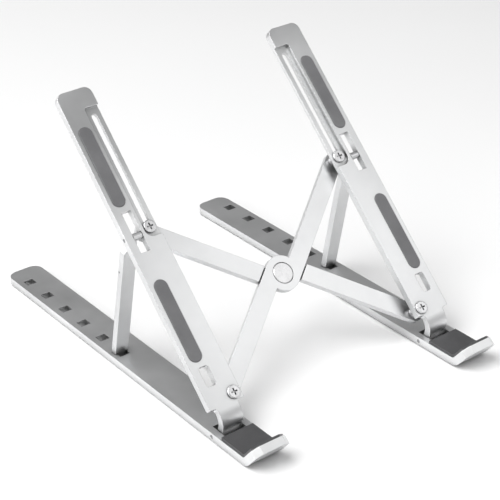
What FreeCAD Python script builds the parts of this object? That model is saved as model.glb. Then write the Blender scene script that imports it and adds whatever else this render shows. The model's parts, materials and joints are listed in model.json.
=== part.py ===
"""Folding laptop stand: two base rails with turned-up hooks, two tilting arms, two props and a
scissor brace that sets the width.

Millimetres, +X to the right, +Y to the rear, +Z up. The origin is on the table, under the middle of
the stand. Lengths along the rails and arms are counted from the line of the two arm hinges. The stand
is drawn open to its full width with the props in the front-most holes of the rails, its steepest setting.
"""

import FreeCAD, Part

import math
import os

import Sketcher

SIZES = [
    # name, size, what it is
    ("overall_width", 156.6, "outside of rail to outside of rail, fully open"),
    ("tilt", 45.6, "slope of the arms, degrees"),
    ("rail_width", 20.5, "rails and arms are equally wide"),
    ("rail_thick", 4.4, "thickness of the rail bar"),
    ("rail_rear", 207.3, "hinge line to the rear end of a rail"),
    ("rail_front", 26.4, "hinge line to the inside of the hook's bend"),
    ("rail_corner", 6.0, "rear corner radius of a rail"),
    ("hook_angle", 49.0, "slope of the hook, degrees"),
    ("hook_length", 13.4, "inside face of the hook"),
    ("hook_chamfer", 3.6, "free corners of the hook"),
    ("hook_bend", 3.0, "inside radius of the hook's bend"),
    ("hole_count", 6, "level holes in a rail"),
    ("hole_side", 5.8, "square level holes"),
    ("hole_offset", 6.2, "middle of the level holes from the outer edge"),
    ("hole_first", 90.8, "hinge line to the middle of the front-most level hole"),
    ("hole_pitch", 20.0, "spacing of the level holes"),
    ("opening_front", 7.2, "hinge line to the front of the hinge opening"),
    ("opening_rear", 4.1, "hinge line to the rear of the hinge opening"),
    ("side_gap", 0.3, "clearance at each side of a moving tongue or neck"),
    ("foot_height", 0.8, "rubber feet under the rails"),
    ("foot_width", 8.0, "rubber feet"),
    ("foot_length", 34.0, "rubber feet"),
    ("foot_offset", 15.0, "middle of the feet from the rail's outer edge, clear of the level holes"),
    ("foot_first", 26.0, "hinge line to the middle of the front foot"),
    ("foot_margin", 6.0, "rear foot to the rear end of the rail"),
    ("pad_thick", 1.2, "hook pad"),
    ("pad_margin", 0.7, "hook pad to the rail's edges"),
    ("pad_rear", 7.6, "hinge line to the rear edge of the hook pad"),
    ("pin_dia", 2.0, "hinge pins and prop pins"),
    ("pin_play", 0.05, "radial running clearance of a pin"),
    ("pin_inset", 0.3, "pin ends below the outer face"),
    ("arm_thick", 4.0, "thickness of an arm"),
    ("arm_top", 189.2, "hinge line to the top end of an arm"),
    ("arm_root", 10.6, "hinge line to the lower end of the arm's full width"),
    ("arm_corner", 4.2, "top corner radius of an arm"),
    ("layer", 4.4, "between rail and arm when folded, for the props"),
    ("tongue_width", 12.3, "curved tongue at the arm's lower end"),
    ("root_fillet", 1.7, "between tongue and arm"),
    ("root_round", 0.7, "lower corners of an arm"),
    ("rabbet_width", 8.6, "sunken track at the inner edge of an arm"),
    ("rabbet_depth", 2.0, "sunken track"),
    ("rabbet_low", 102.4, "hinge line to the lower end of the track"),
    ("rabbet_high", 178.1, "hinge line to the upper end of the track"),
    ("rabbet_radius", 4.4, "lower corner of the track"),
    ("rabbet_corner", 1.3, "upper corner of the track"),
    ("screw_inset", 4.2, "screws from the inner edge of an arm"),
    ("screw_low", 14.6, "hinge line to the lower screws"),
    ("slot_spare", 2.9, "slot beyond the upper screw when the stand is closed"),
    ("slot_width", 3.4, "slot for the upper screw"),
    ("window_centre", 7.25, "middle of the windows from the outer edge"),
    ("window_width", 5.6, "upper window"),
    ("window_low", 96.3, "upper window"),
    ("window_high", 119.3, "upper window"),
    ("prop_pin", 105.7, "hinge line to the prop's pin"),
    ("pin_bite", 1.4, "prop pin beyond the window"),
    ("low_window_low", 21.6, "lower window"),
    ("low_window_high", 32.2, "lower window"),
    ("low_window_radius", 1.3, "lower window"),
    ("strip_centre", 6.2, "middle of the arm pads from the outer edge"),
    ("strip_width", 7.5, "arm pads"),
    ("strip_sunk", 0.8, "arm pads below the arm's face"),
    ("strip_proud", 0.5, "arm pads above the arm's face"),
    ("strip_gap", 0.1, "arm pad to its recess"),
    ("low_strip_low", 35.2, "lower arm pad"),
    ("low_strip_high", 80.6, "lower arm pad"),
    ("high_strip_low", 122.4, "upper arm pad"),
    ("high_strip_high", 168.4, "upper arm pad"),
    ("prop_width", 8.0, "prop"),
    ("prop_thick", 3.8, "prop"),
    ("prop_gap", 0.2, "folded prop to the arm's underside"),
    ("neck_top", 9.4, "pin to the top of the prop's shoulder"),
    ("neck_turn", 32.0, "slope of the neck's root across the pin, degrees"),
    ("neck_back", 4.7, "pin to the corner at the neck's back"),
    ("neck_front", 5.45, "pin to the corner at the neck's front"),
    ("shoulder", 2.5, "sloping shoulder of the prop"),
    ("foot_gap", 0.25, "prop to the top of the rail"),
    ("foot_front", 91.2, "hinge line to the front face of the prop's foot"),
    ("tab_width", 5.0, "tab that drops into a level hole"),
    ("tab_thick", 2.2, "tab"),
    ("tab_depth", 2.2, "tab below the top of the rail"),
    ("tab_chamfer", 0.6, "front lower corner of the tab"),
    ("tab_root", 1.0, "tab above the prop's end"),
    ("detent_dia", 1.2, "small hole in the prop's outer side"),
    ("detent_drop", 26.0, "pin to the small hole"),
    ("detent_back", 0.9, "small hole from the prop's back face"),
    ("detent_depth", 1.5, "small hole"),
    ("brace_thick", 3.8, "cross bars"),
    ("brace_half", 77.5, "rivet to screw, measured along a cross bar"),
    ("brace_width", 9.65, "one limb of a cross bar"),
    ("brace_gap", 0.15, "limb to the middle line"),
    ("stop_gap", 0.8, "limb to the shoulder of the other bar, fully open"),
    ("lap_gap", 0.2, "between the two half laps"),
    ("rivet_dia", 11.3, "head of the middle rivet"),
    ("rivet_head", 0.75, "sunken depth of the head"),
    ("rivet_dome", 0.15, "rise of the head's face"),
    ("rivet_shank", 5.0, "shank of the middle rivet"),
    ("ring_dia", 9.0, "ring under the rivet"),
    ("ring_thick", 0.5, "ring under the rivet"),
    ("ring_gap", 0.1, "running gap above the ring"),
    ("sink_play", 0.3, "radial clearance round rivet head and ring"),
    ("screw_dia", 3.0, "shank of the screws"),
    ("head_dia", 7.0, "screw heads"),
    ("head_height", 1.25, "screw heads"),
    ("head_round", 0.55, "rim of the screw heads"),
    ("head_gap", 0.1, "slider screw's head above the track"),
    ("cross_length", 3.6, "cross recess of the screws"),
    ("cross_width", 0.8, "cross recess"),
    ("cross_depth", 0.9, "cross recess"),
    ("screw_short", 0.2, "screw's end above the cross bar's underside"),
    ("washer_dia", 7.2, "spacer washers between arm and brace"),
    ("washer_thick", 3.7, "spacer washers"),
    ("edge", 0.25, "small chamfer on the rims of pads and rivet"),
    ("knit", 0.1, "how far two lumps of one piece reach into each other"),
    ("run_out", 5.0, "how far a cut starts and ends outside the metal"),
]


class Dim:
    """A size together with the sheet expression that gives it."""

    def __init__(self, value, text):
        self.value = value
        self.text = text

    def __add__(self, other):
        other = dim(other)
        return Dim(self.value + other.value, f"({self.text} + {other.text})")

    def __sub__(self, other):
        other = dim(other)
        return Dim(self.value - other.value, f"({self.text} - {other.text})")

    def __mul__(self, other):
        other = dim(other)
        return Dim(self.value * other.value, f"({self.text} * {other.text})")

    def __truediv__(self, other):
        other = dim(other)
        return Dim(self.value / other.value, f"({self.text} / {other.text})")

    def __neg__(self):
        return Dim(-self.value, f"(0 - {self.text})")

    __radd__ = __add__
    __rmul__ = __mul__

    def __rsub__(self, other):
        return dim(other) - self


def dim(size):
    return size if isinstance(size, Dim) else Dim(float(size), repr(float(size)))


def sine(angle):
    return Dim(math.sin(math.radians(angle.value)), f"sin({angle.text} * 1 deg)")


def cosine(angle):
    return Dim(math.cos(math.radians(angle.value)), f"cos({angle.text} * 1 deg)")


def tangent(angle):
    return Dim(math.tan(math.radians(angle.value)), f"tan({angle.text} * 1 deg)")


def root(size):
    return Dim(math.sqrt(size.value), f"sqrt({size.text})")


def arcsine(ratio):
    return Dim(math.degrees(math.asin(ratio.value)), f"(asin({ratio.text}) / 1 deg)")


def arctangent(ratio):
    return Dim(math.degrees(math.atan(ratio.value)), f"(atan({ratio.text}) / 1 deg)")


doc = FreeCAD.newDocument("LaptopStand")
sheet = doc.addObject("Spreadsheet::Sheet", "Dims")


class Sizes:
    """The sheet's sizes by name."""


S = Sizes()
for number, (name, size, note) in enumerate(SIZES, start=1):
    sheet.set(f"A{number}", note)
    sheet.set(f"B{number}", str(size))
    sheet.setAlias(f"B{number}", name)
    setattr(S, name, Dim(float(size), f"Dims.{name}"))
doc.recompute()

# ---- sizes that follow from the sheet -------------------------------------------------------------

hinge_z = S.foot_height + S.rail_thick / 2
rail_top = S.rail_thick / 2
arm_low = rail_top + S.layer
arm_high = arm_low + S.arm_thick
arm_mid = arm_low + S.arm_thick / 2
track_floor = arm_high - S.rabbet_depth
brace_high = arm_low - S.washer_thick
brace_low = brace_high - S.brace_thick
limb_mid = S.brace_gap + S.brace_width / 2
limb_edge = S.brace_gap + S.brace_width
brace_reach = root(limb_mid * limb_mid + S.brace_half * S.brace_half)
screw_side = S.overall_width / 2 - S.rail_width + S.screw_inset
brace_slant = arcsine(screw_side / brace_reach)
brace_turn = brace_slant - arctangent(limb_mid / S.brace_half)
rivet_along = S.screw_low + brace_reach * cosine(brace_slant)
slide_open = S.screw_low + brace_reach * cosine(brace_slant) * 2
slide_closed = S.screw_low + S.brace_half * 2

# the prop: its front face runs from beside the pin to the front of its foot
prop_pin_y = S.prop_pin * cosine(S.tilt) - arm_mid * sine(S.tilt)
prop_pin_z = S.prop_pin * sine(S.tilt) + arm_mid * cosine(S.tilt)
prop_pin_end = S.window_centre + S.window_width / 2 + S.pin_bite
prop_face = S.arm_thick / 2 + S.prop_gap
foot_away = S.foot_front - prop_pin_y
foot_down = prop_pin_z - rail_top - S.foot_gap
prop_length = root(foot_away * foot_away + foot_down * foot_down - prop_face * prop_face)
prop_lean = arctangent(foot_away / foot_down) - arctangent(prop_face / prop_length)

UP = FreeCAD.Vector(0, 0, 1)
RIGHT = FreeCAD.Vector(1, 0, 0)
pieces = []


def bind(thing, name, size):
    size = dim(size)
    setattr(thing, name, size.value)
    thing.setExpression(name, size.text)


def new_body(name):
    body = doc.addObject("PartDesign::Body", name)
    body.Label = name
    pieces.append(body)
    return body


def sketch_on(body, role, height=0):
    """A sketch on one of the body's own origin planes, raised by a height."""
    height = dim(height)
    sketch = body.newObject("Sketcher::SketchObject", body.Name + "_sketch")
    support = [f for f in body.Origin.OriginFeatures if f.Role == role][0]
    sketch.AttachmentSupport = [(support, "")]
    sketch.MapMode = "FlatFace"
    sketch.AttachmentOffset = FreeCAD.Placement(
        FreeCAD.Vector(0, 0, height.value), FreeCAD.Rotation()
    )
    sketch.setExpression("AttachmentOffset.Base.z", height.text)
    return sketch


def hold(sketch, shape, spot, x, y):
    """Fixes one point of a sketch at x, y."""
    for kind, axis, size in (("DistanceX", -2, dim(x)), ("DistanceY", -1, dim(y))):
        if size.value == 0.0:
            sketch.addConstraint(Sketcher.Constraint("PointOnObject", shape, spot, axis))
        else:
            number = sketch.addConstraint(
                Sketcher.Constraint(kind, -1, 1, shape, spot, size.value)
            )
            sketch.setExpression(f"Constraints[{number}]", size.text)


def hold_radius(sketch, shape, radius):
    number = sketch.addConstraint(Sketcher.Constraint("Radius", shape, radius.value))
    sketch.setExpression(f"Constraints[{number}]", radius.text)


def outline(sketch, points):
    """A closed polygon."""
    points = [(dim(x), dim(y)) for x, y in points]
    places = [FreeCAD.Vector(x.value, y.value, 0) for x, y in points]
    first = sketch.GeometryCount
    count = len(points)
    for i in range(count):
        sketch.addGeometry(Part.LineSegment(places[i], places[(i + 1) % count]))
    for i in range(count):
        sketch.addConstraint(
            Sketcher.Constraint("Coincident", first + i, 2, first + (i + 1) % count, 1)
        )
    for i, (x, y) in enumerate(points):
        hold(sketch, first + i, 1, x, y)


def rectangle(sketch, x, y, width, length):
    outline(
        sketch,
        [
            (x - width / 2, y - length / 2),
            (x + width / 2, y - length / 2),
            (x + width / 2, y + length / 2),
            (x - width / 2, y + length / 2),
        ],
    )


def circle(sketch, x, y, radius):
    x, y = dim(x), dim(y)
    round_line = Part.Circle(FreeCAD.Vector(x.value, y.value, 0), UP, radius.value)
    shape = sketch.addGeometry(round_line)
    hold(sketch, shape, 3, x, y)
    hold_radius(sketch, shape, radius)


def stadium(sketch, x, low, high, radius):
    """A slot along the sketch's y: straight sides and half-round ends; low and high are its ends."""
    x, low, high = dim(x), low + radius, high - radius
    r = radius.value
    left, right = x.value - r, x.value + r
    top = Part.Circle(FreeCAD.Vector(x.value, high.value, 0), UP, r)
    bottom = Part.Circle(FreeCAD.Vector(x.value, low.value, 0), UP, r)
    a = sketch.addGeometry(Part.ArcOfCircle(top, 0, math.pi))
    b = sketch.addGeometry(
        Part.LineSegment(
            FreeCAD.Vector(left, high.value, 0), FreeCAD.Vector(left, low.value, 0)
        )
    )
    c = sketch.addGeometry(Part.ArcOfCircle(bottom, math.pi, 2 * math.pi))
    d = sketch.addGeometry(
        Part.LineSegment(
            FreeCAD.Vector(right, low.value, 0), FreeCAD.Vector(right, high.value, 0)
        )
    )
    for one, other in ((a, b), (b, c), (c, d), (d, a)):
        sketch.addConstraint(Sketcher.Constraint("Tangent", one, 2, other, 1))
    sketch.addConstraint(Sketcher.Constraint("Equal", a, c))
    hold(sketch, a, 3, x, high)
    hold(sketch, c, 3, x, low)
    hold_radius(sketch, a, radius)


def pad(body, sketch, length, both=False, back=False):
    feature = body.newObject("PartDesign::Pad", body.Name + "_pad")
    feature.Profile = sketch
    bind(feature, "Length", length)
    feature.SideType = "Symmetric" if both else "One side"
    feature.Reversed = back
    doc.recompute()
    return feature


def pocket(body, sketch, depth, both=False, back=False):
    """Cuts against the sketch's normal, or along it with back, and makes sure that something went."""
    before = body.Tip.Shape.Volume
    feature = body.newObject("PartDesign::Pocket", body.Name + "_pocket")
    feature.Profile = sketch
    bind(feature, "Length", depth)
    feature.SideType = "Symmetric" if both else "One side"
    feature.Reversed = back
    doc.recompute()
    if not feature.Shape.Volume < before - 1e-6:
        raise RuntimeError(f"{body.Label}: a pocket cut nothing")
    return feature


def edges_at(body, axis, spots):
    """Names of the straight edges along an axis (0, 1 or 2) that pass through the given spots of the
    other two axes."""
    others = [i for i in range(3) if i != axis]
    names = []
    for number, edge in enumerate(body.Tip.Shape.Edges, start=1):
        if len(edge.Vertexes) != 2:
            continue
        a, b = (v.Point for v in edge.Vertexes)
        if any(abs(a[i] - b[i]) > 1e-4 for i in others):
            continue
        if any(all(abs(a[i] - s.value) < 1e-3 for i, s in zip(others, spot)) for spot in spots):
            names.append(f"Edge{number}")
    if len(names) < len(spots):
        raise RuntimeError(f"{body.Label}: only {len(names)} of {len(spots)} edges found")
    return names


def side_edges(body, half_width, start, end):
    """Names of the two edges that run from start to end, given as y and z, at both sides of a body."""
    names = []
    for number, edge in enumerate(body.Tip.Shape.Edges, start=1):
        ends = [v.Point for v in edge.Vertexes]
        if len(ends) != 2 or any(abs(abs(p.x) - half_width.value) > 1e-4 for p in ends):
            continue
        goals = [FreeCAD.Vector(ends[0].x, y.value, z.value) for y, z in (start, end)]
        if all(min(p.distanceToPoint(goal) for p in ends) < 1e-3 for goal in goals):
            names.append(f"Edge{number}")
    if len(names) != 2:
        raise RuntimeError(f"{body.Label}: {len(names)} side edges found")
    return names


def top_rim(body, height):
    """Names of the edges that lie at a height of the body."""
    return [
        f"Edge{number}"
        for number, line in enumerate(body.Tip.Shape.Edges, start=1)
        if all(abs(v.Point.z - height.value) < 1e-4 for v in line.Vertexes)
    ]


def dress(body, kind, names, size, prop):
    """A fillet or chamfer on named edges of the body as it stands."""
    base = body.Tip
    feature = body.newObject(f"PartDesign::{kind}", f"{body.Name}_{kind.lower()}")
    feature.Base = (base, names)
    bind(feature, prop, size)
    doc.recompute()
    return feature


def fillet(body, axis, spots, radius):
    spots = [[dim(v) for v in spot] for spot in spots]
    return dress(body, "Fillet", edges_at(body, axis, spots), radius, "Radius")


def chamfer(body, axis, spots, size):
    spots = [[dim(v) for v in spot] for spot in spots]
    return dress(body, "Chamfer", edges_at(body, axis, spots), size, "Size")


def place(body, x, y, z, turn=None):
    """Puts a body at x, y behind the hinge line and z above the table, turned by a rotation."""
    x, y, z = dim(x), y - stand_middle, dim(z)
    body.Placement = FreeCAD.Placement(
        FreeCAD.Vector(x.value, y.value, z.value), turn or FreeCAD.Rotation()
    )
    for name, size in (("x", x), ("y", y), ("z", z)):
        body.setExpression(f"Placement.Base.{name}", size.text)


def across(side, inset):
    """Local x of a line this far in from the outer edge of a rail or arm; side is -1 left, 1 right."""
    return (S.rail_width / 2 - inset) * side


TILTED = FreeCAD.Rotation(RIGHT, S.tilt.value)
SIDES = (("left", -1), ("right", 1))


def rail_x(side):
    return (S.overall_width - S.rail_width) / 2 * side


def on_slope(along, above):
    """y and z of a point on the tilted arms: along the arm and above the hinge line."""
    y = along * cosine(S.tilt) - above * sine(S.tilt)
    z = along * sine(S.tilt) + above * cosine(S.tilt)
    return y, z + hinge_z


# ---- base rails -----------------------------------------------------------------------------------

hook_c = cosine(S.hook_angle)
hook_s = sine(S.hook_angle)
half_bend = tangent(S.hook_angle / 2)


def hook_line(out, start):
    """A point on the hook, out along its slope from the bend, start deep into the bar's thickness."""
    bend_y = -S.rail_front - start * half_bend
    bend_z = rail_top - start
    return bend_y - hook_c * out, bend_z + hook_s * out


hook_far = S.hook_length + S.rail_thick * half_bend
stand_middle = (S.rail_rear + hook_line(hook_far, S.rail_thick)[0]) / 2


def base_rail(name, side):
    body = new_body(name)
    profile = sketch_on(body, "YZ_Plane")
    outline(
        profile,
        [
            (S.rail_rear, -rail_top),
            (S.rail_rear, rail_top),
            hook_line(dim(0), dim(0)),
            hook_line(S.hook_length, dim(0)),
            hook_line(hook_far, S.rail_thick),
            hook_line(dim(0), S.rail_thick),
        ],
    )
    pad(body, profile, S.rail_width, both=True)
    fillet(body, 0, [hook_line(dim(0), dim(0))], S.hook_bend)
    fillet(body, 0, [hook_line(dim(0), S.rail_thick)], S.hook_bend + S.rail_thick)
    edge_x = S.rail_width / 2
    fillet(body, 2, [(edge_x, S.rail_rear), (-edge_x, S.rail_rear)], S.rail_corner)
    tip_in = hook_line(S.hook_length, dim(0))
    tips = side_edges(body, edge_x, tip_in, hook_line(hook_far, S.rail_thick))
    dress(body, "Chamfer", tips, S.hook_chamfer, "Size")
    holes = sketch_on(body, "XY_Plane", S.rail_thick)
    for step in range(int(S.hole_count.value)):
        rectangle(
            holes,
            across(side, S.hole_offset),
            S.hole_first + S.hole_pitch * step,
            S.hole_side,
            S.hole_side,
        )
    pocket(body, holes, S.rail_thick * 2)
    opening = sketch_on(body, "XY_Plane", S.rail_thick)
    rectangle(
        opening,
        dim(0),
        (S.opening_rear - S.opening_front) / 2,
        S.tongue_width + S.side_gap * 2,
        S.opening_rear + S.opening_front,
    )
    pocket(body, opening, S.rail_thick * 2)
    pin_hole = sketch_on(body, "YZ_Plane")
    circle(pin_hole, 0, 0, S.pin_dia / 2)
    pocket(body, pin_hole, S.rail_width * 2, both=True)
    place(body, rail_x(side), 0, hinge_z)


def hook_pad(name, side):
    """A bent pad that lines the front of the rail and the inside of the hook."""
    body = new_body(name)
    profile = sketch_on(body, "YZ_Plane")
    inner = -S.pad_thick
    tip_in = hook_line(S.hook_length - S.pad_thick * half_bend, inner)
    tip_out = hook_line(S.hook_length, dim(0))
    outline(
        profile,
        [
            (-S.pad_rear, rail_top),
            (-S.pad_rear, rail_top + S.pad_thick),
            hook_line(dim(0), inner),
            tip_in,
            tip_out,
            hook_line(dim(0), dim(0)),
        ],
    )
    width = S.rail_width - S.pad_margin * 2
    pad(body, profile, width, both=True)
    fillet(body, 0, [hook_line(dim(0), inner)], S.hook_bend - S.pad_thick)
    fillet(body, 0, [hook_line(dim(0), dim(0))], S.hook_bend)
    same_margin = S.hook_chamfer + S.pad_margin * (math.sqrt(2) - 1)
    dress(body, "Chamfer", side_edges(body, width / 2, tip_in, tip_out), same_margin, "Size")
    place(body, rail_x(side), 0, hinge_z)


def rail_foot(name, side, middle):
    body = new_body(name)
    plan = sketch_on(body, "XY_Plane")
    stadium(plan, 0, -S.foot_length / 2, S.foot_length / 2, S.foot_width / 2)
    pad(body, plan, S.foot_height)
    place(body, (S.overall_width / 2 - S.foot_offset) * side, middle, 0)


def pin(name, side, start, length, y, z):
    """A plain pin across the stand; start is its outer end's inset, length runs inwards."""
    rod = doc.addObject("Part::Cylinder", name)
    rod.Label = name
    bind(rod, "Radius", S.pin_dia / 2)
    bind(rod, "Height", length)
    outer = S.overall_width / 2 - start
    x = outer - length if side > 0 else -outer
    place(rod, x, y, z, FreeCAD.Rotation(FreeCAD.Vector(0, 1, 0), 90))
    pieces.append(rod)


# ---- support arms ---------------------------------------------------------------------------------

def support_arm(name, side):
    """Flat bar whose lower end turns down through a quarter circle into the rail."""
    body = new_body(name)
    edge_x = S.rail_width / 2
    half_thick = S.arm_thick / 2
    profile = sketch_on(body, "YZ_Plane")
    # bar from the end of the quarter turn to the top
    outline(
        profile,
        [(arm_mid, arm_low), (S.arm_top, arm_low), (S.arm_top, arm_high), (arm_mid, arm_high)],
    )
    pad(body, profile, S.rail_width, both=True)
    # quarter turn and eye, as wide as the tongue
    turn = sketch_on(body, "YZ_Plane")
    centre = FreeCAD.Vector(arm_mid.value, 0, 0)
    r_in, r_out = arm_mid - half_thick, arm_mid + half_thick
    spots = [
        (r_out, math.pi / 2, math.pi),
        (r_in, math.pi / 2, math.pi),
    ]
    arcs = [
        turn.addGeometry(Part.ArcOfCircle(Part.Circle(centre, UP, r.value), a, b))
        for r, a, b in spots
    ]
    eye = Part.Circle(FreeCAD.Vector(0, 0, 0), UP, half_thick.value)
    end = turn.addGeometry(Part.ArcOfCircle(eye, math.pi, 2 * math.pi))
    close = turn.addGeometry(
        Part.LineSegment(
            FreeCAD.Vector(arm_mid.value, arm_low.value, 0),
            FreeCAD.Vector(arm_mid.value, arm_high.value, 0),
        )
    )
    for arc in arcs:
        hold(turn, arc, 3, arm_mid, 0)
    hold(turn, close, 1, arm_mid, arm_low)
    hold(turn, close, 2, arm_mid, arm_high)
    turn.addConstraint(Sketcher.Constraint("Coincident", arcs[0], 1, close, 2))
    turn.addConstraint(Sketcher.Constraint("Coincident", arcs[1], 1, close, 1))
    turn.addConstraint(Sketcher.Constraint("Coincident", arcs[0], 2, end, 1))
    turn.addConstraint(Sketcher.Constraint("Coincident", arcs[1], 2, end, 2))
    turn.addConstraint(Sketcher.Constraint("PointOnObject", end, 3, -1))
    turn.addConstraint(Sketcher.Constraint("PointOnObject", arcs[0], 2, -1))
    turn.addConstraint(Sketcher.Constraint("PointOnObject", arcs[1], 2, -1))
    pad(body, turn, S.tongue_width, both=True)
    # notches at both sides of the tongue's root
    above = arm_high + S.run_out
    notches = sketch_on(body, "XY_Plane", above)
    for hand in (-1, 1):
        tongue_x = S.tongue_width / 2 * hand
        out_x = (edge_x + S.run_out) * hand
        outline(
            notches,
            [
                (tongue_x, arm_mid - S.run_out),
                (out_x, arm_mid - S.run_out),
                (out_x, S.arm_root),
                (tongue_x, S.arm_root),
            ],
        )
    pocket(body, notches, above + S.run_out)
    tongue_edge = S.tongue_width / 2
    fillet(body, 2, [(tongue_edge, S.arm_root), (-tongue_edge, S.arm_root)], S.root_fillet)
    fillet(body, 2, [(edge_x, S.arm_root), (-edge_x, S.arm_root)], S.root_round)
    fillet(body, 2, [(edge_x, S.arm_top), (-edge_x, S.arm_top)], S.arm_corner)
    # sunken track for the upper screw
    track = sketch_on(body, "XY_Plane", above)
    wall = across(side, S.rail_width - S.rabbet_width)
    beyond = across(side, S.rail_width + S.run_out)
    outline(
        track,
        [
            (wall, S.rabbet_low),
            (beyond, S.rabbet_low),
            (beyond, S.rabbet_high),
            (wall, S.rabbet_high),
        ],
    )
    pocket(body, track, above - track_floor)
    fillet(body, 2, [(wall, S.rabbet_low)], S.rabbet_radius)
    fillet(body, 2, [(wall, S.rabbet_high)], S.rabbet_corner)
    # slot, windows and the lower screw's hole
    through = sketch_on(body, "XY_Plane", above)
    screw_x = across(side, S.rail_width - S.screw_inset)
    slot_r = S.slot_width / 2
    stadium(through, screw_x, slide_open - slot_r, slide_closed + S.slot_spare + slot_r, slot_r)
    window_x = across(side, S.window_centre)
    rectangle(
        through,
        window_x,
        (S.window_low + S.window_high) / 2,
        S.window_width,
        S.window_high - S.window_low,
    )
    rectangle(
        through,
        window_x,
        (S.low_window_low + S.low_window_high) / 2,
        S.window_width,
        S.low_window_high - S.low_window_low,
    )
    circle(through, screw_x, S.screw_low, S.screw_dia / 2 + S.pin_play)
    pocket(body, through, above)
    low_corners = [
        (window_x + S.window_width / 2 * hand, y)
        for hand in (-1, 1)
        for y in (S.low_window_low, S.low_window_high)
    ]
    fillet(body, 2, low_corners, S.low_window_radius)
    # recesses for the two pads
    recess = sketch_on(body, "XY_Plane", above)
    strip_x = across(side, S.strip_centre)
    for low, high in (
        (S.low_strip_low, S.low_strip_high),
        (S.high_strip_low, S.high_strip_high),
    ):
        stadium(
            recess,
            strip_x,
            low - S.strip_gap,
            high + S.strip_gap,
            S.strip_width / 2 + S.strip_gap,
        )
    pocket(body, recess, above - arm_high + S.strip_sunk)
    # pin holes: the rail hinge through the tongue, the prop's pin from the outer side
    hinge_hole = sketch_on(body, "YZ_Plane")
    circle(hinge_hole, 0, 0, S.pin_dia / 2 + S.pin_play)
    pocket(body, hinge_hole, S.rail_width * 2, both=True)
    prop_hole = sketch_on(body, "YZ_Plane", edge_x * side)
    circle(prop_hole, S.prop_pin, arm_mid, S.pin_dia / 2)
    pocket(body, prop_hole, prop_pin_end, back=side < 0)
    place(body, rail_x(side), 0, hinge_z, TILTED)


def arm_pad(name, side, low, high):
    body = new_body(name)
    plan = sketch_on(body, "XY_Plane", arm_high - S.strip_sunk)
    stadium(plan, across(side, S.strip_centre), low, high, S.strip_width / 2)
    pad(body, plan, S.strip_sunk + S.strip_proud)
    dress(body, "Chamfer", top_rim(body, arm_high + S.strip_proud), S.edge, "Size")
    place(body, rail_x(side), 0, hinge_z, TILTED)


# ---- props ----------------------------------------------------------------------------------------

def prop_strut(name, side):
    """Drawn about its pin with its length down -Z; its front face looks to -Y."""
    body = new_body(name)
    face = prop_face
    back = prop_face + S.prop_thick
    slope = tangent(prop_lean)
    profile = sketch_on(body, "YZ_Plane")
    outline(
        profile,
        [
            (face, -S.neck_top),
            (face, -prop_length),
            (back, -prop_length - S.prop_thick * slope),
            (back, -S.neck_top),
        ],
    )
    pad(body, profile, S.prop_width, both=True)
    chamfer(body, 1, [(S.prop_width / 2 * side, -S.neck_top)], S.shoulder)
    neck_x = (S.strip_centre - S.window_centre) * side
    neck_width = S.window_width - S.side_gap * 2
    head_radius = S.arm_thick / 2
    root_y = (head_radius - S.knit) * cosine(S.neck_turn)
    root_z = (head_radius - S.knit) * sine(S.neck_turn)
    neck = sketch_on(body, "YZ_Plane", neck_x)
    outline(
        neck,
        [
            (-root_y, -root_z),
            (root_y, root_z),
            (back, -S.neck_back),
            (back, -S.neck_top - S.knit),
            (face, -S.neck_top - S.knit),
            (face, -S.neck_front),
        ],
    )
    pad(body, neck, neck_width, both=True)
    head = sketch_on(body, "YZ_Plane", neck_x)
    circle(head, 0, 0, head_radius)
    pad(body, head, neck_width, both=True)
    c, d = cosine(prop_lean), sine(prop_lean)

    def world(across_y, up_z):
        """A step from the foot's front corner, level and upright when the prop stands."""
        return face + across_y * c + up_z * d, -prop_length - across_y * d + up_z * c

    drop = -S.tab_depth - S.foot_gap
    tab = sketch_on(body, "YZ_Plane")
    outline(
        tab,
        [
            world(dim(0), S.tab_root),
            world(dim(0), drop + S.tab_chamfer),
            world(S.tab_chamfer, drop),
            world(S.tab_thick, drop),
            world(S.tab_thick, S.tab_root),
        ],
    )
    pad(body, tab, S.tab_width, both=True)
    hole = sketch_on(body, "YZ_Plane")
    circle(hole, 0, 0, S.pin_dia / 2 + S.pin_play)
    pocket(body, hole, S.prop_width * 2, both=True)
    dot = sketch_on(body, "YZ_Plane", S.prop_width / 2 * side)
    circle(dot, back - S.detent_back, -S.detent_drop, S.detent_dia / 2)
    pocket(body, dot, S.detent_depth, back=side < 0)
    y, z = prop_pin_y, prop_pin_z + hinge_z
    x = (S.overall_width / 2 - S.strip_centre) * side
    place(body, x, y, z, FreeCAD.Rotation(RIGHT, prop_lean.value))


# ---- scissor brace --------------------------------------------------------------------------------

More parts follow.
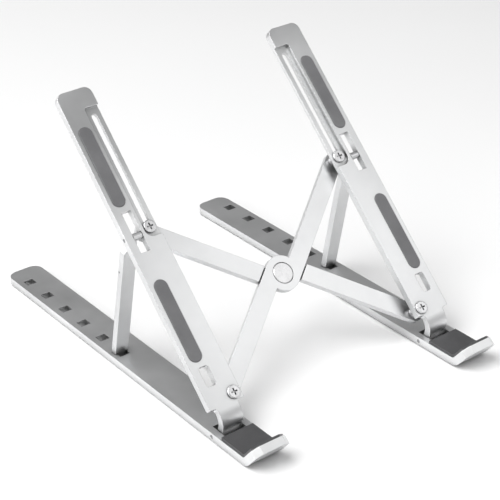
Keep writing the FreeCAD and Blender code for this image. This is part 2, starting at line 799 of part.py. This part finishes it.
def cross_bar(name, hand, upper):
    """Z-shaped bar drawn about the rivet, its limbs along Y. hand 1: the far limb lies on +X.
    upper: its half lap is the upper one, and the rivet's head sinks into it."""
    body = new_body(name)
    half = (S.brace_thick - S.lap_gap) / 2
    lap_low = S.brace_thick - half if upper else dim(0)
    full_turn = brace_turn * 2
    wall = (limb_edge + S.stop_gap) / sine(full_turn)
    skew = cosine(full_turn) / sine(full_turn)
    inner_wall = wall - S.brace_gap * skew
    outer_wall = wall - limb_edge * skew
    lap = sketch_on(body, "XY_Plane", lap_low)
    circle(lap, 0, 0, limb_edge)
    pad(body, lap, half)
    # the two limbs at half thickness, then at full thickness beyond the other bar's path
    thin = sketch_on(body, "XY_Plane", lap_low)
    thick = sketch_on(body, "XY_Plane", dim(0))
    for way in (1, -1):
        near = S.brace_gap * hand * way
        far = limb_edge * hand * way
        tip = S.brace_half * way
        outline(thin, [(near, dim(0)), (far, dim(0)), (far, tip), (near, tip)])
        outline(thick, [(near, inner_wall * way), (far, outer_wall * way), (far, tip), (near, tip)])
    pad(body, thin, half)
    pad(body, thick, S.brace_thick)
    for way in (1, -1):
        tips = sketch_on(body, "XY_Plane", dim(0))
        circle(tips, limb_mid * hand * way, S.brace_half * way, S.brace_width / 2)
        pad(body, tips, S.brace_thick)
    top = S.brace_thick + S.run_out
    if upper:
        sink = sketch_on(body, "XY_Plane", top)
        circle(sink, 0, 0, S.rivet_dia / 2 + S.sink_play)
        pocket(body, sink, S.rivet_head + S.run_out)
    else:
        sink = sketch_on(body, "XY_Plane", -S.run_out)
        circle(sink, 0, 0, S.ring_dia / 2 + S.sink_play)
        pocket(body, sink, S.ring_thick + S.ring_gap + S.run_out, back=True)
    bore = sketch_on(body, "XY_Plane", top)
    circle(bore, 0, 0, S.rivet_shank / 2 if upper else S.rivet_shank / 2 + S.pin_play)
    for way in (1, -1):
        circle(bore, limb_mid * hand * way, S.brace_half * way, S.screw_dia / 2)
    pocket(body, bore, top + S.run_out)
    y, z = on_slope(rivet_along, brace_low)
    turned = FreeCAD.Rotation(UP, -brace_turn.value * hand)
    place(body, 0, y, z, TILTED.multiply(turned))


def rivet(name):
    """Rivet with a wide, faintly domed head that sits flush in the upper bar."""
    body = new_body(name)
    head_low = S.brace_thick - S.rivet_head
    shank = sketch_on(body, "XY_Plane", dim(0))
    circle(shank, 0, 0, S.rivet_shank / 2)
    pad(body, shank, head_low + S.knit)
    head = sketch_on(body, "XY_Plane", head_low)
    circle(head, 0, 0, S.rivet_dia / 2)
    pad(body, head, S.rivet_head + S.rivet_dome)
    dress(body, "Chamfer", top_rim(body, S.brace_thick + S.rivet_dome), S.edge, "Size")
    y, z = on_slope(rivet_along, brace_low)
    place(body, 0, y, z, TILTED)


def ring(name, outer, inner, thick, x, along, above):
    """A flat ring that lies on the slope of the arms."""
    disc = doc.addObject("Part::Cylinder", name + "_disc")
    bind(disc, "Radius", outer)
    bind(disc, "Height", thick)
    bore = doc.addObject("Part::Cylinder", name + "_bore")
    bind(bore, "Radius", inner)
    bind(bore, "Height", thick)
    cut = doc.addObject("Part::Cut", name)
    cut.Label = name
    cut.Base = disc
    cut.Tool = bore
    y, z = on_slope(along, above)
    place(cut, x, y, z, TILTED)
    pieces.append(cut)


def screw(name, x, along, head_low):
    """Pan-head screw with a cross recess; its shank ends just inside the cross bar's underside."""
    body = new_body(name)
    length = head_low - brace_low - S.screw_short
    shank = sketch_on(body, "XY_Plane", -length)
    circle(shank, 0, 0, S.screw_dia / 2)
    pad(body, shank, length + S.knit)
    head = sketch_on(body, "XY_Plane", dim(0))
    circle(head, 0, 0, S.head_dia / 2)
    pad(body, head, S.head_height)
    dress(body, "Fillet", top_rim(body, S.head_height), S.head_round, "Radius")
    recess = sketch_on(body, "XY_Plane", S.head_height + S.run_out)
    half_l, half_w = S.cross_length / 2, S.cross_width / 2
    outline(
        recess,
        [
            (half_l, -half_w), (half_l, half_w), (half_w, half_w), (half_w, half_l),
            (-half_w, half_l), (-half_w, half_w), (-half_l, half_w), (-half_l, -half_w),
            (-half_w, -half_w), (-half_w, -half_l), (half_w, -half_l), (half_w, -half_w),
        ],
    )
    pocket(body, recess, S.cross_depth + S.run_out)
    y, z = on_slope(along, head_low)
    place(body, x, y, z, TILTED)


# ---- the stand ------------------------------------------------------------------------------------

for word, side in SIDES:
    base_rail(f"base_rail_{word}", side)
    hook_pad(f"hook_pad_{word}", side)
    rail_foot(f"foot_front_{word}", side, S.foot_first)
    rail_foot(f"foot_rear_{word}", side, S.rail_rear - S.foot_length / 2 - S.foot_margin)
    pin_length = S.rail_width - S.pin_inset * 2
    pin(f"hinge_pin_{word}", side, S.pin_inset, pin_length, 0, hinge_z)
    support_arm(f"support_arm_{word}", side)
    arm_pad(f"arm_pad_lower_{word}", side, S.low_strip_low, S.low_strip_high)
    arm_pad(f"arm_pad_upper_{word}", side, S.high_strip_low, S.high_strip_high)
    prop_strut(f"prop_strut_{word}", side)
    prop_pin_length = prop_pin_end - S.pin_inset
    pin(f"prop_pin_{word}", side, S.pin_inset, prop_pin_length, prop_pin_y, prop_pin_z + hinge_z)
    side_x = screw_side * side
    screw(f"pivot_screw_{word}", side_x, S.screw_low, arm_high)
    screw(f"slider_screw_{word}", side_x, slide_open, track_floor + S.head_gap)
    for kind, along in (("pivot", S.screw_low), ("slider", slide_open)):
        ring(
            f"{kind}_washer_{word}",
            S.washer_dia / 2,
            S.screw_dia / 2,
            S.washer_thick,
            side_x,
            along,
            brace_high,
        )

cross_bar("cross_bar_upper", 1, True)
cross_bar("cross_bar_lower", -1, False)
rivet("centre_rivet")
ring("rivet_ring", S.ring_dia / 2, S.rivet_shank / 2, S.ring_thick, 0, rivet_along, brace_low)

doc.recompute()
for thing in doc.Objects:
    if "Invalid" in thing.State or "Error" in thing.State:
        raise RuntimeError(f"{thing.Label} did not compute: {thing.State}")
for piece in pieces:
    if piece.Shape.isNull() or not piece.Shape.isValid() or len(piece.Shape.Solids) != 1:
        raise RuntimeError(f"{piece.Label} is not one valid solid")

os.makedirs("parts", exist_ok=True)
for piece in pieces:
    piece.Shape.exportStep(f"parts/{piece.Label}.step")
    box = piece.Shape.BoundBox
    print(f"{piece.Label}: {box.XLength:.2f} x {box.YLength:.2f} x {box.ZLength:.2f} mm,"
          f" {piece.Shape.Volume:.1f} mm3")
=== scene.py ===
"""Looks of the folding laptop stand on a pale floor in soft light: bead-blasted anodised aluminium,
silicone pads, plated screws and a turned rivet.

Every piece is a CAD node and keeps its mesh. Lengths are in metres, light powers in watts, and noise
scales count features per metre.
"""

import json
import math

import bpy
from mathutils import Matrix, Vector


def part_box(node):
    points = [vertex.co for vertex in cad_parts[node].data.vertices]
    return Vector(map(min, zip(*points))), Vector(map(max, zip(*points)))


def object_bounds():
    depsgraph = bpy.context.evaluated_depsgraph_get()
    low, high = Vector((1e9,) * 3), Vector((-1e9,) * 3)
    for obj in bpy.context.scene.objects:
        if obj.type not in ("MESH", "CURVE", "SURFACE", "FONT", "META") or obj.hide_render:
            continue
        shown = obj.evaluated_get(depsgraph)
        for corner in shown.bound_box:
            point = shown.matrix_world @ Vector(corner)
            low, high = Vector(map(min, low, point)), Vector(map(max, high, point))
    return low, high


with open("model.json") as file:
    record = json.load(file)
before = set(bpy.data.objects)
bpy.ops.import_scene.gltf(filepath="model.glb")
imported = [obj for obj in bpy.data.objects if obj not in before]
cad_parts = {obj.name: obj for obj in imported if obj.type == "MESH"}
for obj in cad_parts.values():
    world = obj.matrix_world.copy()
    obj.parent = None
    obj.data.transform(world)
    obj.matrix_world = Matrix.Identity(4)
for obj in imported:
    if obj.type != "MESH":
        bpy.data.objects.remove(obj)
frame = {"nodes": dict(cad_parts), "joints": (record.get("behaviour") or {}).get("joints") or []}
nodes = frame["nodes"]
low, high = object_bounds()
MM = 0.001
# The scissor turns about the normal of the slope that the arms, bars, screws and rivet lie in.
slope_normal = next(joint["axis"] for joint in frame["joints"] if joint["name"] == "brace_fold")


# ---- node helpers ---------------------------------------------------------------------------------


class Shader:
    """A material's node tree with short ways to add and join nodes."""

    def __init__(self, name):
        self.material = bpy.data.materials.new(name)
        self.material.use_nodes = True
        self.tree = self.material.node_tree
        self.surface = self.tree.nodes["Principled BSDF"]
        coordinates = self.tree.nodes.new("ShaderNodeTexCoord")
        self.place = coordinates.outputs["Object"]
        self.relief = None

    def node(self, kind, **settings):
        made = self.tree.nodes.new(kind)
        for key, value in settings.items():
            setattr(made, key, value)
        return made

    def join(self, source, target):
        self.tree.links.new(source, target)

    def set(self, **values):
        """Uniform values on the shader's own sockets."""
        for key, value in values.items():
            self.surface.inputs[key.replace("_", " ")].default_value = value

    def stretched(self, scale):
        """The object's place stretched along the three axes."""
        mapping = self.node("ShaderNodeMapping")
        mapping.inputs["Scale"].default_value = scale
        self.join(self.place, mapping.inputs["Vector"])
        return mapping.outputs["Vector"]

    def noise(self, scale, detail=2.0, rough=0.5, place=None):
        made = self.node("ShaderNodeTexNoise")
        made.inputs["Scale"].default_value = scale
        made.inputs["Detail"].default_value = detail
        made.inputs["Roughness"].default_value = rough
        self.join(place or self.place, made.inputs["Vector"])
        return made.outputs["Fac"]

    def painted_hollow_shade(self, reach, least):
        """Painted shade: near the least value in holes, slots and corners, and 1 on open faces."""
        made = self.node("ShaderNodeAmbientOcclusion", samples=6)
        made.inputs["Distance"].default_value = reach
        return self.spread(made.outputs["AO"], least, 1.0, 0.35, 0.9)

    def with_painted_shade(self, colour, reach, least):
        """The colour with painted shade, darker in holes, slots and corners."""
        made = self.node("ShaderNodeVectorMath", operation="SCALE")
        self.join(colour, made.inputs["Vector"])
        self.join(self.painted_hollow_shade(reach, least), made.inputs["Scale"])
        return made.outputs["Vector"]

    def spread(self, value, low_out, high_out, low_in=0.3, high_in=0.7):
        made = self.node("ShaderNodeMapRange")
        for key, number in (
            ("From Min", low_in),
            ("From Max", high_in),
            ("To Min", low_out),
            ("To Max", high_out),
        ):
            made.inputs[key].default_value = number
        self.join(value, made.inputs["Value"])
        return made.outputs["Result"]

    def calculate(self, operation, first, second):
        made = self.node("ShaderNodeMath", operation=operation)
        for socket, value in zip(made.inputs, (first, second)):
            if isinstance(value, (int, float)):
                socket.default_value = value
            else:
                self.join(value, socket)
        return made.outputs["Value"]

    def shades(self, factor, dark, light):
        """A colour that runs from dark to light with the factor."""
        made = self.node("ShaderNodeMix", data_type="RGBA")
        made.inputs["A"].default_value = (*dark, 1.0)
        made.inputs["B"].default_value = (*light, 1.0)
        self.join(factor, made.inputs["Factor"])
        return made.outputs["Result"]

    def bump(self, height, strength, distance):
        made = self.node("ShaderNodeBump")
        made.inputs["Strength"].default_value = strength
        made.inputs["Distance"].default_value = distance
        self.join(height, made.inputs["Height"])
        if self.relief is not None:
            self.join(self.relief, made.inputs["Normal"])
        self.relief = made.outputs["Normal"]
        self.join(self.relief, self.surface.inputs["Normal"])

    def edges(self, radius):
        """Rounds the sharp edges by a radius. The result is 1 on them, where handling polishes the
        finish, and 0 elsewhere."""
        bevel = self.node("ShaderNodeBevel", samples=8)
        bevel.inputs["Radius"].default_value = radius
        self.relief = bevel.outputs["Normal"]
        face = self.node("ShaderNodeNewGeometry")
        dot = self.node("ShaderNodeVectorMath", operation="DOT_PRODUCT")
        self.join(bevel.outputs["Normal"], dot.inputs[0])
        self.join(face.outputs["Normal"], dot.inputs[1])
        return self.spread(dot.outputs["Value"], 1.0, 0.0, 0.9, 0.995)


# ---- materials ------------------------------------------------------------------------------------


EDGE_RADIUS = 0.25 * MM
EDGE_POLISH = 0.15
# Painted shade in holes, slots and corners of the bars: how far it reaches and how dark it gets.
HOLLOW_SHADE_REACH = 6 * MM
HOLLOW_SHADE_TONE = 0.38
ALONG_BARS = (1.0, 0.06, 1.0)


def aluminium(name, dark, light, rough_low, rough_high):
    """Bead-blasted anodised bar: fine sparkle, cloudy sheen, faint handling marks, bright edges
    and painted shade in holes, slots and corners.
    """
    shader = Shader(name)
    shader.set(Metallic=1.0)
    clouds = shader.noise(28.0, 3.0, 0.55)
    blast = shader.noise(3200.0, 3.0, 0.7)
    marks = shader.noise(900.0, 4.0, 0.6, shader.stretched(ALONG_BARS))
    edge = shader.edges(EDGE_RADIUS)
    colour = shader.shades(shader.spread(clouds, 0.0, 1.0), dark, light)
    bright = shader.node("ShaderNodeMix", data_type="RGBA")
    bright.inputs["B"].default_value = (0.97, 0.97, 0.975, 1.0)
    shader.join(colour, bright.inputs["A"])
    shader.join(shader.calculate("MULTIPLY", edge, EDGE_POLISH), bright.inputs["Factor"])
    # Painted shade: the bar's colour is darkened in holes, slots and corners.
    shader.join(
        shader.with_painted_shade(bright.outputs["Result"], HOLLOW_SHADE_REACH, HOLLOW_SHADE_TONE),
        shader.surface.inputs["Base Color"],
    )
    rough = shader.calculate(
        "ADD",
        shader.spread(clouds, rough_low, rough_high),
        shader.spread(marks, -0.03, 0.03),
    )
    rough = shader.calculate("SUBTRACT", rough, shader.calculate("MULTIPLY", edge, 0.1))
    shader.join(rough, shader.surface.inputs["Roughness"])
    shader.bump(blast, 0.1, 0.03 * MM)
    shader.bump(marks, 0.04, 0.03 * MM)
    return shader.material


def silicone(name, dark, light, rough_low, rough_high):
    """Matte silicone with a fine moulded grain, a little dust and a soft sheen."""
    shader = Shader(name)
    shader.set(Specular_IOR_Level=0.45, Sheen_Weight=0.08)
    clouds = shader.noise(60.0, 4.0, 0.6)
    grain = shader.noise(2600.0, 2.0, 0.6)
    dust = shader.noise(420.0, 5.0, 0.75)
    mixed = shader.calculate(
        "ADD", shader.spread(clouds, 0.0, 0.7), shader.spread(dust, 0.0, 0.3, 0.5, 0.8)
    )
    shader.join(shader.shades(mixed, dark, light), shader.surface.inputs["Base Color"])
    shader.join(shader.spread(clouds, rough_low, rough_high), shader.surface.inputs["Roughness"])
    shader.bump(grain, 0.25, 0.05 * MM)
    return shader.material


# Painted shade in the recesses of the screws and rivet: how far it reaches and how dark it gets.
RECESS_SHADE_REACH = 1.2 * MM
RECESS_SHADE_TONE = 0.15


def turned(name, centre, colours, rough, groove, strength):
    """Metal turned on a lathe: rings a groove apart about the centre, and a highlight that fans out
    from it, because the sheen is stretched around the slope's normal."""
    shader = Shader(name)
    shader.set(Metallic=1.0)
    away = shader.node("ShaderNodeVectorMath", operation="DISTANCE")
    shader.join(shader.place, away.inputs[0])
    away.inputs[1].default_value = centre
    rings = shader.calculate(
        "SINE", shader.calculate("MULTIPLY", away.outputs["Value"], 2 * math.pi / groove), 0.0
    )
    radial = shader.node("ShaderNodeVectorMath", operation="SUBTRACT")
    shader.join(shader.place, radial.inputs[0])
    radial.inputs[1].default_value = centre
    around = shader.node("ShaderNodeVectorMath", operation="CROSS_PRODUCT")
    around.inputs[0].default_value = slope_normal
    shader.join(radial.outputs["Vector"], around.inputs[1])
    shader.join(around.outputs["Vector"], shader.surface.inputs["Tangent"])
    shader.set(Anisotropic=0.8)
    stain = shader.noise(300.0, 4.0, 0.65)
    mixed = shader.calculate(
        "ADD", shader.spread(stain, 0.0, 0.5), shader.spread(rings, 0.0, 0.5, -1.0, 1.0)
    )
    # Painted shade: the turned colour is darkened in recesses.
    shader.join(
        shader.with_painted_shade(shader.shades(mixed, *colours), RECESS_SHADE_REACH, RECESS_SHADE_TONE),
        shader.surface.inputs["Base Color"],
    )
    shader.join(shader.spread(stain, *rough), shader.surface.inputs["Roughness"])
    shader.bump(rings, strength, 0.01 * MM)
    shader.bump(shader.noise(1500.0, 3.0, 0.6), 0.08, 0.02 * MM)
    return shader.material


def nylon(name):
    """Plain nylon with faint mould marks, for the ring under the bars."""
    shader = Shader(name)
    clouds = shader.noise(200.0, 3.0, 0.5)
    shader.join(
        shader.shades(clouds, (0.55, 0.55, 0.54), (0.68, 0.68, 0.67)),
        shader.surface.inputs["Base Color"],
    )
    shader.join(shader.spread(clouds, 0.45, 0.6), shader.surface.inputs["Roughness"])
    shader.bump(shader.noise(1800.0, 2.0, 0.5), 0.12, 0.03 * MM)
    return shader.material


def middle(name):
    """The middle of a node's box."""
    corner, far_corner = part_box(name)
    return (Vector(corner) + Vector(far_corner)) / 2


def paint(name, material):
    """Gives a node this one material."""
    slots = nodes[name].data.materials
    slots.clear()
    slots.append(material)


rail = aluminium("rail anodised", (0.72, 0.725, 0.73), (0.84, 0.845, 0.85), 0.32, 0.4)
arm = aluminium("arm anodised", (0.68, 0.685, 0.69), (0.8, 0.805, 0.81), 0.3, 0.38)
prop = aluminium("prop anodised", (0.66, 0.665, 0.67), (0.76, 0.765, 0.77), 0.34, 0.42)
brace = aluminium("brace anodised", (0.68, 0.685, 0.69), (0.8, 0.805, 0.81), 0.31, 0.38)
pin_steel = aluminium("pin steel", (0.4, 0.4, 0.42), (0.52, 0.52, 0.54), 0.3, 0.4)
hook_silicone = silicone("hook silicone", (0.045, 0.045, 0.047), (0.075, 0.075, 0.078), 0.28, 0.38)
strip_silicone = silicone("strip silicone", (0.13, 0.13, 0.135), (0.18, 0.18, 0.185), 0.5, 0.64)
foot_silicone = silicone("foot silicone", (0.05, 0.05, 0.052), (0.085, 0.085, 0.09), 0.55, 0.7)
ring_nylon = nylon("ring nylon")
plating = ((0.6, 0.6, 0.61), (0.8, 0.8, 0.81))
spinning = ((0.6, 0.6, 0.61), (0.85, 0.85, 0.85))

for side in ("left", "right"):
    paint(f"base_rail_{side}", rail)
    paint(f"support_arm_{side}", arm)
    paint(f"prop_strut_{side}", prop)
    paint(f"hook_pad_{side}", hook_silicone)
    for word in ("hinge_pin", "prop_pin"):
        paint(f"{word}_{side}", pin_steel)
    for word in ("arm_pad_lower", "arm_pad_upper"):
        paint(f"{word}_{side}", strip_silicone)
    for word in ("foot_front", "foot_rear"):
        paint(f"{word}_{side}", foot_silicone)
    for word in ("pivot", "slider"):
        screw = f"{word}_screw_{side}"
        plated = turned(f"{screw} plated", middle(screw), plating, (0.2, 0.34), 0.12 * MM, 0.15)
        paint(screw, plated)
        paint(f"{word}_washer_{side}", plated)
for word in ("upper", "lower"):
    paint(f"cross_bar_{word}", brace)
paint("rivet_ring", ring_nylon)
spun = turned("rivet spun", middle("centre_rivet"), spinning, (0.25, 0.31), 0.3 * MM, 0.4)
paint("centre_rivet", spun)


# ---- floor, light and camera ----------------------------------------------------------------------

FLOOR_SIZE = 6.0
floor_shader = Shader("floor paper")
floor_tone = floor_shader.noise(3.0, 2.0, 0.5)
floor_shader.join(
    floor_shader.shades(floor_tone, (0.9, 0.9, 0.9), (0.93, 0.93, 0.93)),
    floor_shader.surface.inputs["Base Color"],
)
floor_shader.set(Roughness=0.85)
bpy.ops.mesh.primitive_plane_add(size=FLOOR_SIZE, location=(0, 0, 0))
floor = bpy.context.object
floor.name = "floor"
floor.data.materials.append(floor_shader.material)


def area_light(name, towards, azimuth, elevation, distance, size, power):
    """A square soft light that looks at a point; azimuth 0 is in front, at -Y, and 90 at +X."""
    round_by = math.radians(azimuth)
    up_by = math.radians(elevation)
    out = Vector(
        (math.sin(round_by) * math.cos(up_by), -math.cos(round_by) * math.cos(up_by), math.sin(up_by))
    )
    light = bpy.data.lights.new(name, "AREA")
    light.shape = "SQUARE"
    light.size = size
    light.energy = power
    lamp = bpy.data.objects.new(name, light)
    lamp.location = towards + out * distance
    lamp.rotation_euler = out.to_track_quat("Z", "Y").to_euler()
    bpy.context.scene.collection.objects.link(lamp)


middle_of_stand = (low + high) / 2
arm_feet = (middle("pivot_screw_left") + middle("pivot_screw_right")) / 2
# The small near light is where the arms mirror it, brightest at their feet as in the photograph.
area_light("arm light", arm_feet, 48, 47, 0.36, 0.26, 0.2)
area_light("side light", middle_of_stand, -100, 12, 1.4, 1.0, 8.5)
area_light("floor light", middle_of_stand, -95, 62, 1.9, 1.6, 36)

# The surroundings are bright in front, for the hooks, and an even grey elsewhere, for the metal.
FRONT_TONE = 0.82
GREY_TONE = 0.345
world = bpy.data.worlds.new("studio")
world.use_nodes = True
sky = world.node_tree
direction = sky.nodes.new("ShaderNodeTexCoord")
axes = sky.nodes.new("ShaderNodeSeparateXYZ")
sky.links.new(direction.outputs["Generated"], axes.inputs["Vector"])
ramp = sky.nodes.new("ShaderNodeMapRange")
for key, number in (
    ("From Min", -1.0),
    ("From Max", -0.35),
    ("To Min", FRONT_TONE),
    ("To Max", GREY_TONE),
):
    ramp.inputs[key].default_value = number
sky.links.new(axes.outputs["Y"], ramp.inputs["Value"])
sky.links.new(ramp.outputs["Result"], sky.nodes["Background"].inputs["Color"])
sky.nodes["Background"].inputs["Strength"].default_value = 0.9
bpy.context.scene.world = world

# The camera was fitted to the photograph. Its shift stands for the picture's crop.
EYE = Vector((-0.4287, -0.6158, 0.4525))
HEADING = math.radians(34.04)
DIP = math.radians(-25.86)
ROLL = math.radians(-3.395)
LENS = 112.8
SENSOR = 36.0
SHIFT_X = 0.0786
SHIFT_Y = -0.1442
ahead = Vector(
    (math.cos(DIP) * math.sin(HEADING), math.cos(DIP) * math.cos(HEADING), math.sin(DIP))
)
level = ahead.cross(Vector((0, 0, 1))).normalized()
upright = level.cross(ahead)
right = level * math.cos(ROLL) + upright * math.sin(ROLL)
up = upright * math.cos(ROLL) - level * math.sin(ROLL)
camera_data = bpy.data.cameras.new("camera")
camera_data.sensor_width = SENSOR
camera_data.lens = LENS
camera_data.shift_x = SHIFT_X
camera_data.shift_y = SHIFT_Y
camera_data.clip_start = 0.01
camera = bpy.data.objects.new("camera", camera_data)
camera.matrix_world = Matrix.Translation(EYE) @ Matrix((right, up, -ahead)).transposed().to_4x4()
bpy.context.scene.collection.objects.link(camera)
bpy.context.scene.camera = camera
bpy.context.scene.view_settings.view_transform = "Standard"
